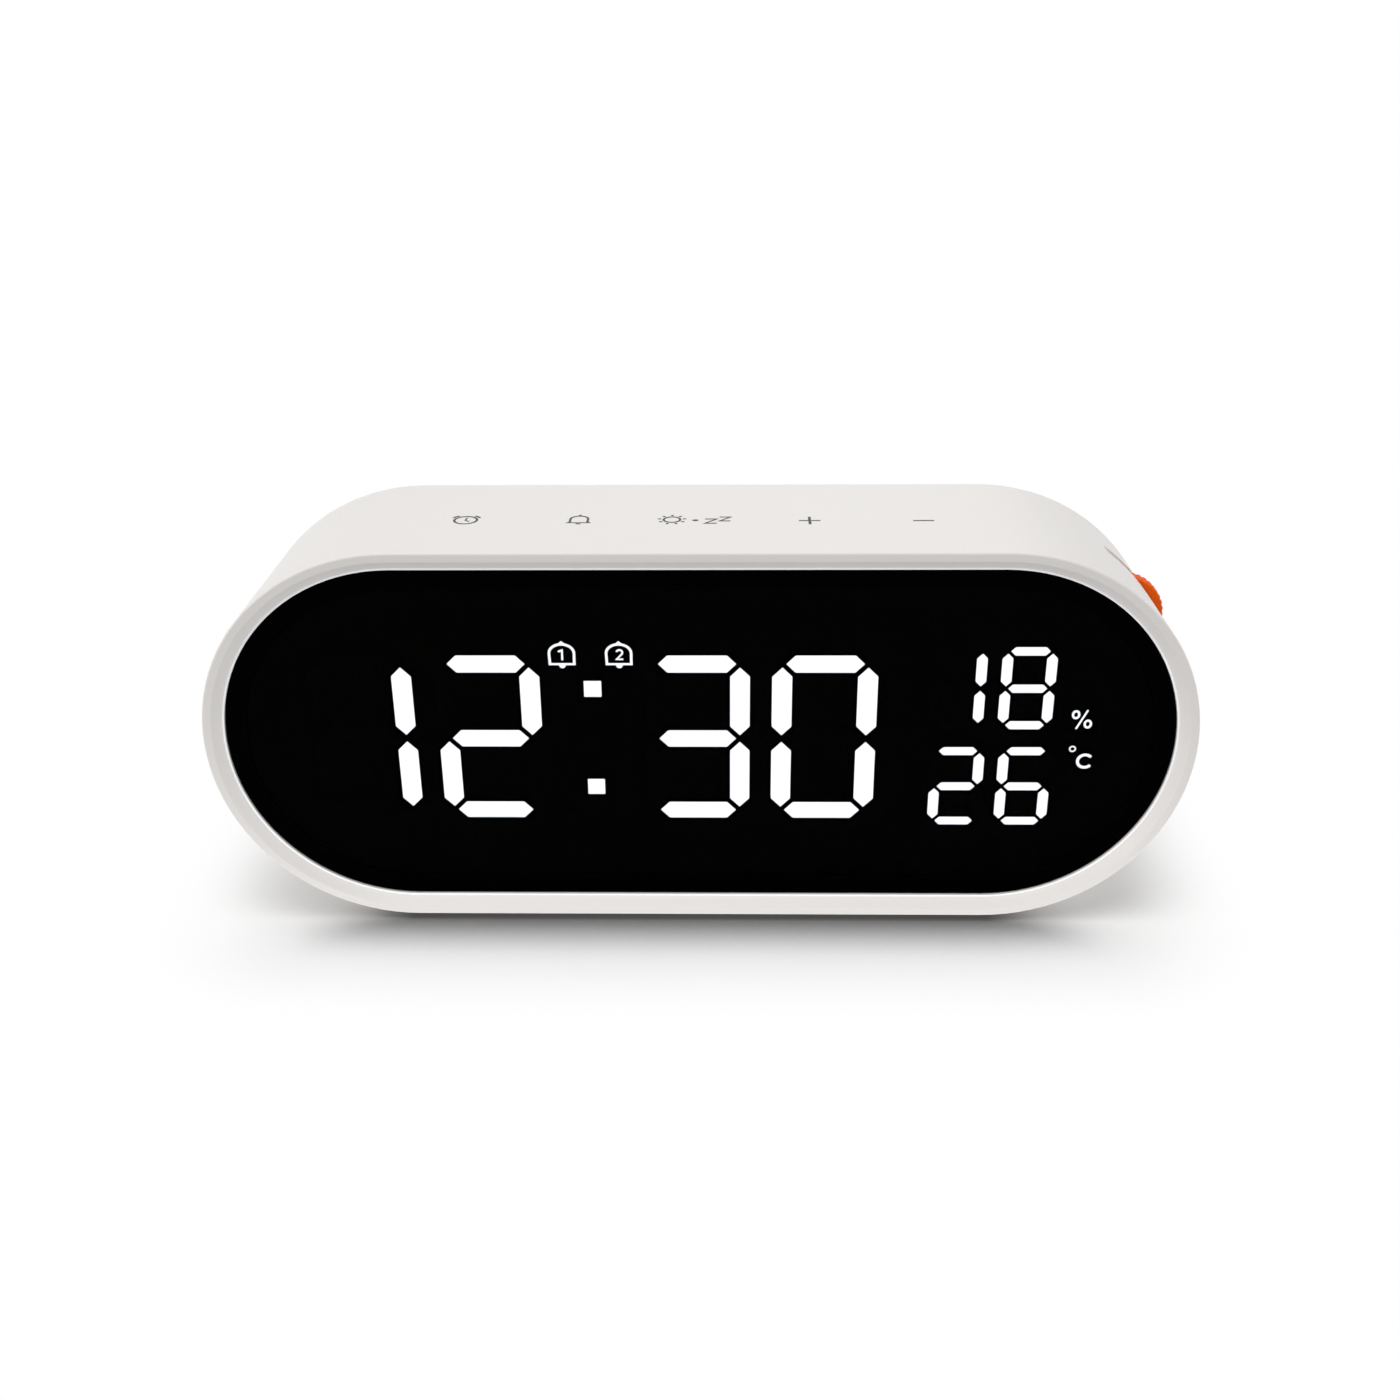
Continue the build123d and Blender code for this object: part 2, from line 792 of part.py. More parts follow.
def hinge_cylinder(radius, low, high):
    """Round solid on the door's hinge axis between two heights."""
    return upright(Pos(hinge_x, case_depth - hinge_depth) * Circle(radius), low, high)


def bay_cuts():
    """What is cut for the cells, the door, its swing and its pins."""
    bay = Rectangle(2 * bay_half_length, 2 * bay_half_height)
    cuts = slab(bay, bay_floor, case_depth + overrun) + door_opening(cover_front)
    trough_right = hinge_x + hinge_depth
    trough = Pos((door_opening_left + trough_right) / 2, 0)
    trough *= Rectangle(trough_right - door_opening_left, 2 * door_opening_half_height)
    cuts += slab(trough, case_depth - 2 * hinge_depth - hinge_sweep_gap, case_depth + overrun)
    reach = door_opening_half_height - door_gap + pin_length + pin_end_gap
    return cuts + hinge_cylinder(pin_radius + pin_fit, -reach, reach)


def standoff_places():
    """Middles of the four standoffs under the main board."""
    places = corner_places(main_board_width / 2 - standoff_inset, main_board_height / 2 - standoff_inset)
    return [(main_board_x + across, up - main_board_drop) for across, up in places]


def rear_cover():
    """Screwed cover with the battery bay, speaker collar and board standoffs on its inner face."""
    collar = Circle(collar_radius + collar_wall) - Circle(collar_radius)
    cover = cover_plate() + battery_tub()
    cover += slab(Pos(speaker_x, 0) * collar, cover_front - collar_height, cover_front)
    posts = all_of(Pos(*place) * Circle(standoff_radius) for place in standoff_places())
    cover += slab(posts, main_board_back, cover_front)
    pilots = all_of(Pos(*place) * Circle(small_shank_radius) for place in standoff_places())
    cover -= slab(pilots, main_board_back - overrun, main_board_back + small_shank_length)
    return cover - bay_cuts()


def cover_screws():
    """Pan-head screws of the rear cover, sunk in their counterbores, with crossed driver slots."""
    seat = case_depth - cover_head_sink
    face = seat + cover_head_height
    screws = []
    for place in cover_boss_places():
        head = slab(Pos(*place) * Circle(cover_head_radius), seat, face)
        for turn in (0, 90):
            slot = Pos(*place) * Rot(Z=turn) * Rectangle(cover_head_radius, slot_width)
            head -= slab(slot, face - slot_depth, face + overrun)
        screws.append(head + slab(Pos(*place) * Circle(cover_shank_radius), seat - cover_shank_length, seat))
    return group(screws)


# Battery door and cells


def battery_door():
    """Door plate with a rounded hinge edge, two moulded pins and a finger notch at its free edge."""
    left = hinge_x
    right = door_opening_right - door_gap
    half = door_opening_half_height - door_gap
    plate = Pos((left + right) / 2, 0) * Rectangle(right - left, 2 * half)
    inner = case_depth - door_thickness
    door = slab(plate, inner, case_depth)
    edge = hinge_cylinder(hinge_depth, -half, half)
    door += edge & slab(Pos(hinge_x, 0) * Rectangle(case_height, case_height), inner, case_depth)
    door += hinge_cylinder(pin_radius, -half - pin_length, half + pin_length)
    notch = Pos(right, 0) * Circle(notch_radius)
    return door - slab(notch, case_depth - notch_depth, case_depth + overrun)


def cell_levels():
    """Heights of the cells' axes."""
    return [(row - (cell_count - 1) / 2) * cell_pitch for row in range(cell_count)]


def along_width(profile, depth, level, start, length):
    """A profile drawn across the width's axis, made solid along it."""
    origin = (start, depth - case_depth / 2, case_middle + level)
    return extrude(Plane(origin=origin, x_dir=(0, 1, 0), z_dir=(1, 0, 0)) * profile, amount=length)


def battery_cells():
    """Cells lying side by side, every other one turned round."""
    cells = []
    can_length = cell_length - nipple_length
    for row, level in enumerate(cell_levels()):
        start = -cell_length / 2 + (nipple_length if row % 2 else 0)
        tip = -cell_length / 2 if row % 2 else cell_length / 2 - nipple_length
        can = along_width(Circle(cell_diameter / 2), cell_axis, level, start, can_length)
        cells.append(can + along_width(Circle(nipple_diameter / 2), cell_axis, level, tip, nipple_length))
    return group(cells)


def battery_contacts():
    """Metal plates on the ends of the bay with a bump that meets each cell."""
    contacts = []
    for level in cell_levels():
        for side in (-1, 1):
            outer = side * bay_half_length
            plate = Rectangle(contact_height, contact_height)
            contact = along_width(plate, cell_axis, level, outer, -side * contact_thickness)
            bump_start = outer - side * contact_thickness
            round_end = Circle(contact_bump_radius)
            bump = along_width(round_end, cell_axis, level, bump_start, -side * contact_reach)
            contacts.append(contact + bump)
    return group(contacts)


# Speaker


def speaker_turned(points):
    """A closed profile of radius and depth, turned about the speaker's axis."""
    axis = Axis((speaker_x, 0, case_middle), (0, 1, 0))
    section = Plane(origin=(speaker_x, -case_depth / 2, case_middle), x_dir=(1, 0, 0), z_dir=(0, 0, 1))
    return revolve(section * make_face(Polyline(*points, close=True)), axis=axis)


def speaker_frame():
    """Pressed basket with its flange and a terminal block on its side."""
    lip = speaker_radius - gasket_width
    throat = magnet_radius - basket_wall
    frame = speaker_turned([
        (lip, flange_back), (speaker_radius, flange_back), (speaker_radius, flange_front),
        (lip + basket_wall, flange_front), (basket_radius, basket_front), (throat, basket_front),
        (throat, basket_front + basket_wall), (basket_radius - basket_wall, basket_front + basket_wall),
        (lip, flange_front + basket_wall / 2),
    ])
    reach = basket_wall + terminal_length
    block = Pos(speaker_x + basket_radius - basket_wall, 0)
    block *= Rectangle(reach, terminal_width, align=(Align.MIN, Align.CENTER))
    hollow = speaker_turned([(0, basket_front), (basket_radius - basket_wall / 2, basket_front),
                             (lip + basket_wall / 2, flange_front), (0, flange_front)])
    return frame + (slab(block, basket_front, basket_front + terminal_height) - hollow)


def speaker_cone():
    """Thin cone with a raised dust dome, facing the grille."""
    rim = speaker_radius - gasket_width - cone_rim_gap
    deep = basket_front + basket_wall + cone_rim_gap
    near = flange_back - cone_thickness
    return speaker_turned([
        (0, deep + dome_rise), (dome_radius, deep), (rim, near), (rim, near + cone_thickness),
        (dome_radius, deep + cone_thickness), (0, deep + dome_rise + cone_thickness),
    ])


def speaker_magnet():
    """Round magnet on the front of the basket."""
    return slab(Pos(speaker_x, 0) * Circle(magnet_radius), basket_front - magnet_height, basket_front)


def speaker_gasket():
    """Foam ring between the flange and the cover."""
    ring = Circle(speaker_radius) - Circle(speaker_radius - gasket_width)
    return slab(Pos(speaker_x, 0) * ring, flange_back, cover_front)


def speaker_lead():
    """Flat twin lead from the terminal block, round the battery bay to its connector."""
    start = speaker_x + basket_radius + terminal_length
    turn = tub_left - lead_gap - lead_thickness / 2
    level = basket_front + terminal_height / 2
    end = main_board_x - main_board_width / 2
    corners = ((start, level), (turn, level), (turn, lead_depth), (end, lead_depth))
    path = FilletPolyline(*corners, radius=lead_bend)
    height = lead_connector_share * main_board_height - main_board_drop
    return upright(trace(path, lead_thickness), height - lead_width / 2, height + lead_width / 2)


# Main board


def on_main_board(shares):
    """A place on the main board given as shares of its width and height."""
    return main_board_x + shares[0] * main_board_width, shares[1] * main_board_height - main_board_drop


def usb_place():
    """Middle of the power inlet."""
    return on_main_board(usb_place_shares)


def sensor_place():
    """Middle of the climate sensor."""
    return on_main_board(sensor_place_shares)


def main_board():
    """Main board with its screw holes."""
    holes = all_of(Pos(*place) * Circle(small_shank_radius + small_hole_gap) for place in standoff_places())
    plate = Pos(main_board_x, -main_board_drop) * Rectangle(main_board_width, main_board_height)
    return slab(plate - holes, main_board_front, main_board_back)


def front_screw(place):
    """Small screw driven from the front into a standoff."""
    seat = main_board_front
    head = slab(Pos(*place) * Circle(small_head_radius), seat - small_head_height, seat)
    tip = seat + board_thickness + small_shank_length - screw_end_gap
    return head + slab(Pos(*place) * Circle(small_shank_radius), seat, tip)


def board_screws():
    """Screws of the main board."""
    return group(front_screw(place) for place in standoff_places())


def board_chips():
    """Controller and display driver on the front of the main board."""
    chips = [Pos(*on_main_board(chip_place_shares)) * Rectangle(chip_side, chip_side),
             Pos(*on_main_board(driver_place_shares)) * Rectangle(driver_length, driver_width)]
    return group(slab(chip, main_board_front - chip_height, main_board_front) for chip in chips)


def board_capacitors():
    """Two can capacitors with softened crowns."""
    cans = []
    for shares in capacitor_place_shares:
        profile = Pos(*on_main_board(shares)) * Circle(capacitor_radius)
        can = slab(profile, main_board_front - capacitor_height, main_board_front)
        cans.append(chamfer(can.faces().sort_by(Axis.Y)[0].edges(), capacitor_chamfer))
    return group(cans)


def board_connectors():
    """Sockets of the speaker lead and of both ends of the two flat cables."""
    left = main_board_x - main_board_width / 2
    level = lead_connector_share * main_board_height - main_board_drop
    socket = Pos(left + connector_length / 2, level) * Rectangle(connector_length, lead_connector_width)
    lead_front = lead_depth - lead_thickness / 2 - connector_lip
    sockets = [slab(socket, lead_front, main_board_front)]
    across, up = display_ribbon_place()
    wide = Pos(across, up) * Rectangle(connector_length, display_ribbon_width + ribbon_connector_margin)
    sockets.append(slab(wide, display_board_back, display_board_back + ribbon_connector_height))
    sockets.append(slab(wide, main_board_front - ribbon_connector_height, main_board_front))
    top = -main_board_drop + main_board_height / 2 - connector_length
    slim = Rectangle(touch_ribbon_width + ribbon_connector_margin, connector_length)
    lower = Pos(touch_ribbon_place(), top) * slim
    sockets.append(slab(lower, main_board_front - ribbon_connector_height, main_board_front))
    upper = Pos(touch_ribbon_place(), key_depth) * slim
    sockets.append(upright(upper, touch_board_bottom - ribbon_connector_height, touch_board_bottom))
    return group(sockets)


def display_ribbon_place():
    """Middle of the sockets of the display's flat cable."""
    left = main_board_x - main_board_width / 2
    across = left + standoff_inset + connector_length
    return across, display_ribbon_share * main_board_height - main_board_drop


def display_ribbon():
    """Flat cable folded between the display board and the main board."""
    across, up = display_ribbon_place()
    start = across + connector_length / 2
    near = display_board_back + ribbon_connector_height / 2
    far = main_board_front - ribbon_connector_height / 2
    bend = start + ribbon_reach
    path = FilletPolyline((start, near), (bend, near), (bend, far), (start, far), radius=ribbon_bend)
    half = display_ribbon_width / 2
    return upright(trace(path, ribbon_thickness), up - half, up + half)


def climate_sensor():
    """Small sensor can with a round port, facing the vents."""
    place = Pos(*sensor_place())
    can = slab(place * Rectangle(sensor_side, sensor_side), main_board_back, main_board_back + sensor_height)
    port = main_board_back + sensor_height - sensor_port_depth
    return can - slab(place * Circle(sensor_port_radius), port, port + sensor_port_depth + overrun)


# Power inlet


def usb_shell():
    """Metal mouth of the power inlet, standing on the main board."""
    inner = SlotOverall(usb_width - 2 * usb_wall, usb_height - 2 * usb_wall)
    profile = SlotOverall(usb_width, usb_height) - inner
    return slab(Pos(*usb_place()) * profile, main_board_back, case_depth - usb_recess)


def usb_tongue():
    """Contact tongue inside the inlet, on its moulded base."""
    place = Pos(*usb_place())
    base = SlotOverall(usb_width - 2 * usb_wall, usb_height - 2 * usb_wall)
    tongue = slab(place * base, main_board_back, main_board_back + usb_base_height)
    return tongue + slab(place * Rectangle(tongue_width, tongue_height), main_board_back,
                         case_depth - usb_recess - tongue_recess)


NODES = (
    housing, rear_cover, rubber_feet, cover_screws,
    front_lens, lens_tape, display_frame, lit_segments, unlit_segments, sign_windows,
    display_leds, display_board, display_screws,
    thumbwheel, dial_shaft, wheel_screw, dial_body, dial_board, dial_screws,
    touch_board, touch_pads, touch_screws, touch_ribbon,
    main_board, board_screws, board_chips, board_capacitors, board_connectors,
    display_ribbon, climate_sensor, usb_shell, usb_tongue,
    battery_door, battery_cells, battery_contacts,
    speaker_frame, speaker_cone, speaker_magnet, speaker_gasket, speaker_lead,
)

os.makedirs("parts", exist_ok=True)
for node in NODES:
    export_step(node(), f"parts/{node.__name__}.step")
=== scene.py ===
import math

import bmesh
import bpy
from mathutils import Matrix, Vector


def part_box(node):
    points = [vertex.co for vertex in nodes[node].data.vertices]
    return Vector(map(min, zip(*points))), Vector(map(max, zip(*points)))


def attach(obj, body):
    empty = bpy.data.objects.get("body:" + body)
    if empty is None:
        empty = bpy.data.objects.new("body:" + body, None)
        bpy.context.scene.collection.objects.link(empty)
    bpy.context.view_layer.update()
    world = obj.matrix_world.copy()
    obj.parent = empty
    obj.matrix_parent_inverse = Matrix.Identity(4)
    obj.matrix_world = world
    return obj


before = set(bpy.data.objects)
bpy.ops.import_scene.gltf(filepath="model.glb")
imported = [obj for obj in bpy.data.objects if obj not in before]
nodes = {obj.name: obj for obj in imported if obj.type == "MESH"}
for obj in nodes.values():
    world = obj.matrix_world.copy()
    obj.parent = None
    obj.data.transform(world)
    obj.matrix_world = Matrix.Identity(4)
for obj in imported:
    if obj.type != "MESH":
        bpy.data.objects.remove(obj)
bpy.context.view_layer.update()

# Signs are drawn in millimetres; Blender and its materials work in metres.
MM = 0.001

# Sizes and places of the case, in millimetres
CASE_DEPTH = 44.0
LAND_DEPTH = 1.65
CASE_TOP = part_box("housing")[1].z / MM
CASE_MIDDLE = (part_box("housing")[0].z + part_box("housing")[1].z) / 2 / MM
END_CENTRE = (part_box("housing")[1].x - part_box("housing")[1].z + CASE_MIDDLE * MM) / MM

# Front of the light frame, in metres
FRAME_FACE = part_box("display_frame")[0].y


# Shader building blocks

# Most of a noise lies between these two levels.
NOISE_LOW = 0.3
NOISE_HIGH = 0.7


def new_material(name):
    """An empty material with its tree, its shader and the object's own coordinates."""
    mat = bpy.data.materials.new(name)
    mat.use_nodes = True
    tree = mat.node_tree
    shader = tree.nodes["Principled BSDF"]
    place = tree.nodes.new("ShaderNodeTexCoord").outputs["Object"]
    return mat, tree, shader, place


def noise(tree, place, scale, detail=3.0):
    """Noise over coordinates in metres."""
    node = tree.nodes.new("ShaderNodeTexNoise")
    node.inputs["Scale"].default_value = scale
    node.inputs["Detail"].default_value = detail
    tree.links.new(place, node.inputs["Vector"])
    return node.outputs["Fac"]


def ramp(tree, fac, low, high, start=NOISE_LOW, end=NOISE_HIGH):
    """A colour that runs from low to high with a factor."""
    node = tree.nodes.new("ShaderNodeValToRGB")
    node.color_ramp.elements[0].position = start
    node.color_ramp.elements[0].color = (*low, 1)
    node.color_ramp.elements[1].position = end
    node.color_ramp.elements[1].color = (*high, 1)
    tree.links.new(fac, node.inputs["Fac"])
    return node.outputs["Color"]


def spread(tree, fac, low, high):
    """A number that runs from low to high with a noise."""
    node = tree.nodes.new("ShaderNodeMapRange")
    node.inputs["From Min"].default_value = NOISE_LOW
    node.inputs["From Max"].default_value = NOISE_HIGH
    node.inputs["To Min"].default_value = low
    node.inputs["To Max"].default_value = high
    tree.links.new(fac, node.inputs["Value"])
    return node.outputs["Result"]


def bump(tree, shader, height, strength, depth):
    """Fine relief on the shader's normal; depth in metres."""
    node = tree.nodes.new("ShaderNodeBump")
    node.inputs["Strength"].default_value = strength
    node.inputs["Distance"].default_value = depth
    tree.links.new(height, node.inputs["Height"])
    tree.links.new(node.outputs["Normal"], shader.inputs["Normal"])


def shade(colour, factor):
    """A colour made darker or lighter, no lighter than white."""
    return tuple(min(1.0, c * factor) for c in colour)


def number(tree, operation, first, second):
    """One sum on two numbers, each a socket or a plain value."""
    node = tree.nodes.new("ShaderNodeMath")
    node.operation = operation
    for socket, value in zip(node.inputs, (first, second)):
        if isinstance(value, float):
            socket.default_value = value
        else:
            tree.links.new(value, socket)
    return node.outputs[0]


def fade(tree, value, start, end):
    """Soft step from 0 at start to 1 at end."""
    node = tree.nodes.new("ShaderNodeMapRange")
    node.interpolation_type = "SMOOTHSTEP"
    node.inputs["From Min"].default_value = start
    node.inputs["From Max"].default_value = end
    tree.links.new(value, node.inputs["Value"])
    return node.outputs["Result"]


def split_axes(tree, place):
    """The three coordinates of a place, by the names X, Y and Z."""
    split = tree.nodes.new("ShaderNodeSeparateXYZ")
    tree.links.new(place, split.inputs[0])
    return split.outputs


def beyond(tree, value, middle, half):
    """How far a coordinate lies past half a width from a middle, and 0 within it."""
    distance = number(tree, "ABSOLUTE", number(tree, "SUBTRACT", value, middle), 0.0)
    return number(tree, "MAXIMUM", number(tree, "SUBTRACT", distance, half), 0.0)


def outside(tree, place, half, axes, middle):
    """Distance outside a rectangle of half sizes on two axes, centred on 0 and on a middle."""
    coordinates = split_axes(tree, place)
    along = beyond(tree, coordinates[axes[0]], 0.0, half[0])
    across = beyond(tree, coordinates[axes[1]], middle, half[1])
    along_square = number(tree, "MULTIPLY", along, along)
    across_square = number(tree, "MULTIPLY", across, across)
    return number(tree, "SQRT", number(tree, "ADD", along_square, across_square), 0.0)


# Materials


def surface(name, colour, rough, drift=0.03, drift_scale=25.0, grain=2500.0, relief=0.15, depth=0.00005,
            metal=0.0, specular=0.5):
    """Plain moulded, pressed or painted surface with a slow drift of colour and a fine grain."""
    rough_low, rough_high = 0.88, 1.12
    mat, tree, shader, place = new_material(name)
    slow = noise(tree, place, drift_scale)
    fine = noise(tree, place, grain, detail=2.0)
    tint = ramp(tree, slow, shade(colour, 1 - drift), shade(colour, 1 + drift))
    tree.links.new(tint, shader.inputs["Base Color"])
    gloss = spread(tree, fine, rough * rough_low, min(1.0, rough * rough_high))
    tree.links.new(gloss, shader.inputs["Roughness"])
    shader.inputs["Metallic"].default_value = metal
    shader.inputs["Specular IOR Level"].default_value = specular
    bump(tree, shader, fine, relief, depth)
    return mat


def circuit(name, colour, trace_colour):
    """Solder mask with faint lines of copper under it."""
    pattern_scale = 260.0
    trace_size = 0.03
    patch_shade = 0.86
    grain = 1400.0
    mat, tree, shader, place = new_material(name)
    bricks = tree.nodes.new("ShaderNodeTexBrick")
    bricks.inputs["Scale"].default_value = pattern_scale
    bricks.inputs["Mortar Size"].default_value = trace_size
    bricks.inputs["Color1"].default_value = (*colour, 1)
    bricks.inputs["Color2"].default_value = (*shade(colour, patch_shade), 1)
    bricks.inputs["Mortar"].default_value = (*trace_colour, 1)
    turn = tree.nodes.new("ShaderNodeMapping")
    turn.inputs["Rotation"].default_value = (math.pi / 2, 0, 0)
    tree.links.new(place, turn.inputs["Vector"])
    tree.links.new(turn.outputs["Vector"], bricks.inputs["Vector"])
    tree.links.new(bricks.outputs["Color"], shader.inputs["Base Color"])
    fine = noise(tree, place, grain)
    tree.links.new(spread(tree, fine, low=0.3, high=0.42), shader.inputs["Roughness"])
    bump(tree, shader, fine, strength=0.1, depth=0.00004)
    return mat


def brushed(name, colour, rough):
    """Metal with fine lines along one way."""
    line_stretch = (1.0, 14.0, 1.0)
    line_scale = 900.0
    tint_low, tint_high = 0.9, 1.08
    rough_low, rough_high = 0.8, 1.2
    mat, tree, shader, place = new_material(name)
    stretch = tree.nodes.new("ShaderNodeMapping")
    stretch.inputs["Scale"].default_value = line_stretch
    tree.links.new(place, stretch.inputs["Vector"])
    lines = noise(tree, stretch.outputs["Vector"], line_scale)
    tint = ramp(tree, lines, shade(colour, tint_low), shade(colour, tint_high))
    tree.links.new(tint, shader.inputs["Base Color"])
    tree.links.new(spread(tree, lines, rough * rough_low, rough * rough_high), shader.inputs["Roughness"])
    shader.inputs["Metallic"].default_value = 1.0
    bump(tree, shader, lines, strength=0.08, depth=0.00002)
    return mat


def smoked_lens(name):
    """Tinted acrylic with a black printed border over the ledge and a faint wander in its polish."""
    tint_colour = (0.19, 0.19, 0.20)
    border_colour = (0.0006, 0.0006, 0.0006)
    border_start, border_end = 0.0288, 0.0292
    polish_scale = 60.0
    mat, tree, shader, place = new_material(name)
    polish = spread(tree, noise(tree, place, polish_scale), low=0.012, high=0.03)
    tree.links.new(polish, shader.inputs["Roughness"])
    reach = outside(tree, place, (END_CENTRE * MM, 0.0), ("X", "Z"), CASE_MIDDLE * MM)
    border = fade(tree, reach, border_start, border_end)
    tint = ramp(tree, border, tint_colour, border_colour, start=0.0, end=1.0)
    tree.links.new(tint, shader.inputs["Base Color"])
    shader.inputs["Transmission Weight"].default_value = 1.0
    shader.inputs["IOR"].default_value = 1.05
    return mat


def lit(name, strength):
    """White plastic that glows, with a slow drift between a cool and a full white; also used, faintly, for a
    painted highlight.
    """
    cool_white = (0.95, 0.97, 1.0)
    full_white = (1.0, 1.0, 1.0)
    drift_scale = 90.0
    mat, tree, shader, place = new_material(name)
    glow = ramp(tree, noise(tree, place, drift_scale), cool_white, full_white)
    tree.links.new(glow, shader.inputs["Emission Color"])
    tree.links.new(glow, shader.inputs["Base Color"])
    shader.inputs["Emission Strength"].default_value = strength
    shader.inputs["Roughness"].default_value = 0.5
    return mat


def cell_sleeve(name, dark, band, steel):
    """Plain sleeve of a cell, a pale band near its tip and bare ends; the middle cell is turned round."""
    middle_cell_half = 0.0055
    band_start = 0.0085
    tip_start = 0.0206
    base_end = -0.0219
    band_metal = 0.6
    grain = 1400.0
    mat, tree, shader, place = new_material(name)
    coordinates = split_axes(tree, place)
    height = number(tree, "SUBTRACT", coordinates["Z"], CASE_MIDDLE * MM)
    in_middle = number(tree, "LESS_THAN", number(tree, "ABSOLUTE", height, 0.0), middle_cell_half)
    way = number(tree, "SUBTRACT", 1.0, number(tree, "MULTIPLY", in_middle, 2.0))
    along = number(tree, "MULTIPLY", coordinates["X"], way)
    banded = number(tree, "GREATER_THAN", along, band_start)
    at_tip = number(tree, "GREATER_THAN", along, tip_start)
    at_base = number(tree, "LESS_THAN", along, base_end)
    bare = number(tree, "MAXIMUM", at_tip, at_base)
    ends = tree.nodes.new("ShaderNodeMix")
    ends.data_type = "RGBA"
    ends.inputs["B"].default_value = (*steel, 1)
    tree.links.new(bare, ends.inputs["Factor"])
    tree.links.new(ramp(tree, banded, dark, band, start=0.0, end=1.0), ends.inputs["A"])
    tree.links.new(ends.outputs["Result"], shader.inputs["Base Color"])
    metal = number(tree, "MAXIMUM", bare, number(tree, "MULTIPLY", banded, band_metal))
    tree.links.new(metal, shader.inputs["Metallic"])
    fine = noise(tree, place, grain)
    tree.links.new(spread(tree, fine, low=0.30, high=0.38), shader.inputs["Roughness"])
    bump(tree, shader, fine, strength=0.04, depth=0.000005)
    return mat


case_white = surface("case_white", (0.815, 0.789, 0.768), rough=0.42, drift=0.012, drift_scale=9.0,
                     grain=2600.0, relief=0.12)
foot_rubber = surface("foot_rubber", (0.035, 0.035, 0.036), rough=0.8, drift=0.12, grain=1800.0, relief=0.3)
black_foam = surface("black_foam", (0.012, 0.012, 0.012), rough=0.95, drift=0.2, grain=3200.0, relief=0.5)
frame_black = surface("frame_black", (0.0018, 0.0018, 0.0019), rough=0.7, drift=0.1, grain=2200.0,
                      relief=0.2, specular=0.04)
part_black = surface("part_black", (0.02, 0.02, 0.021), rough=0.5, drift=0.1, grain=1800.0, relief=0.2)
segment_dark = surface("segment_dark", (0.0024, 0.0024, 0.0025), rough=0.55, drift=0.1, grain=1500.0,
                       relief=0.1, specular=0.06)
segment_lit = lit("segment_lit", strength=5.8)
# Faint glow that paints the highlight on the polished land round the front panel; there is no lamp there
rim_highlight_glow = lit("rim_highlight_glow", strength=0.16)
lens_smoke = smoked_lens("lens_smoke")
led_white = surface("led_white", (0.85, 0.72, 0.32), rough=0.35, drift=0.08)
board_green = circuit("board_green", (0.012, 0.12, 0.045), trace_colour=(0.05, 0.24, 0.09))
wheel_orange = surface("wheel_orange", (0.87, 0.115, 0.003), rough=0.5, drift=0.06, drift_scale=120.0,
                       grain=2600.0, relief=0.15, specular=0.1)
screw_steel = brushed("screw_steel", (0.60, 0.60, 0.61), rough=0.3)
can_metal = brushed("can_metal", (0.66, 0.66, 0.68), rough=0.35)
connector_ivory = surface("connector_ivory", (0.72, 0.68, 0.56), rough=0.5, drift=0.04)
ribbon_white = surface("ribbon_white", (0.74, 0.74, 0.72), rough=0.35, drift=0.03, grain=900.0)
cell_can = cell_sleeve("cell_can", dark=(0.15, 0.17, 0.20), band=(0.40, 0.42, 0.44),
                       steel=(0.62, 0.62, 0.63))
basket_metal = surface("basket_metal", (0.05, 0.05, 0.052), rough=0.45, drift=0.1, metal=0.4)
cone_black = surface("cone_black", (0.02, 0.02, 0.021), rough=0.85, drift=0.3, drift_scale=600.0,
                     grain=1400.0, relief=0.5)
magnet_grey = surface("magnet_grey", (0.09, 0.09, 0.095), rough=0.6, drift=0.12)
lead_black = surface("lead_black", (0.03, 0.03, 0.03), rough=0.6, drift=0.1)
print_grey = surface("print_grey", (0.016, 0.016, 0.018), rough=0.55, drift=0.15, drift_scale=900.0,
                     grain=3000.0, relief=0.1)

NODE_MATERIALS = {
    "housing": case_white, "rear_cover": case_white, "battery_door": case_white,
    "rubber_feet": foot_rubber, "cover_screws": screw_steel,
    "front_lens": lens_smoke, "lens_tape": black_foam, "display_frame": frame_black,
    "lit_segments": segment_lit, "unlit_segments": segment_dark, "sign_windows": frame_black,
    "display_leds": led_white, "display_board": board_green, "display_screws": screw_steel,
    "thumbwheel": wheel_orange, "dial_shaft": can_metal, "wheel_screw": screw_steel,
    "dial_body": part_black, "dial_board": board_green, "dial_screws": screw_steel,
    "touch_board": board_green, "touch_pads": black_foam, "touch_screws": screw_steel,
    "touch_ribbon": ribbon_white, "display_ribbon": ribbon_white,
    "main_board": board_green, "board_screws": screw_steel, "board_chips": part_black,
    "board_capacitors": can_metal, "board_connectors": connector_ivory,
    "climate_sensor": connector_ivory, "usb_shell": screw_steel, "usb_tongue": part_black,
    "battery_cells": cell_can, "battery_contacts": screw_steel,
    "speaker_frame": basket_metal, "speaker_cone": cone_black, "speaker_magnet": magnet_grey,
    "speaker_gasket": black_foam, "speaker_lead": lead_black,
}
for node_name, node in nodes.items():
    node.data.materials.clear()
    node.data.materials.append(NODE_MATERIALS[node_name])


# Flat printed and lit signs, and a painted highlight round the front panel

# Directions on a sign's plane, in degrees
RIGHT, UP, LEFT, DOWN = 0, 90, 180, 270
FULL_TURN = 360


